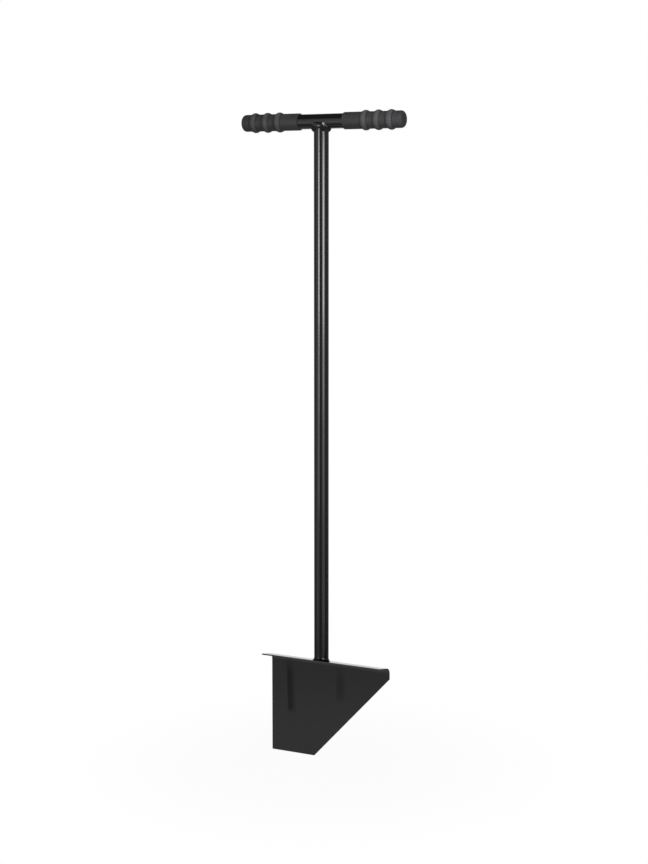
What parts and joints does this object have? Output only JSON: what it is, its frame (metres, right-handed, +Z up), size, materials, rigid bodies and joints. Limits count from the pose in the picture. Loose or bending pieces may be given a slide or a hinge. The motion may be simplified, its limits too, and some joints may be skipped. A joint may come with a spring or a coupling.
{
  "type": "lawn edger",
  "caption": "Long-handled lawn edger: a steel blade with a slanting edge, folded over into a foot tread, under a welded tube shaft with a crossbar and ribbed push-on grips.",
  "frame": {"origin": "on the shaft's axis, level with the blade's bottom edge, close to the middle of the bounding box's underside", "axes": "+Z up along the shaft, +X along the crossbar and the blade towards its slanting edge, -Y towards the tread's front edge"},
  "size_m": [0.2644, 0.0344, 0.9812],
  "materials": {
    "steel_coat": "black semi-gloss powder coat",
    "grip_rubber": "matte black"
  },
  "bodies": {
    "root": {"blade": "steel_coat", "shaft_tube": "steel_coat", "crossbar_tube": "steel_coat", "left_grip": "grip_rubber", "right_grip": "grip_rubber", "upper_weld": "steel_coat", "lower_weld": "steel_coat"}
  },
  "joints": []
}
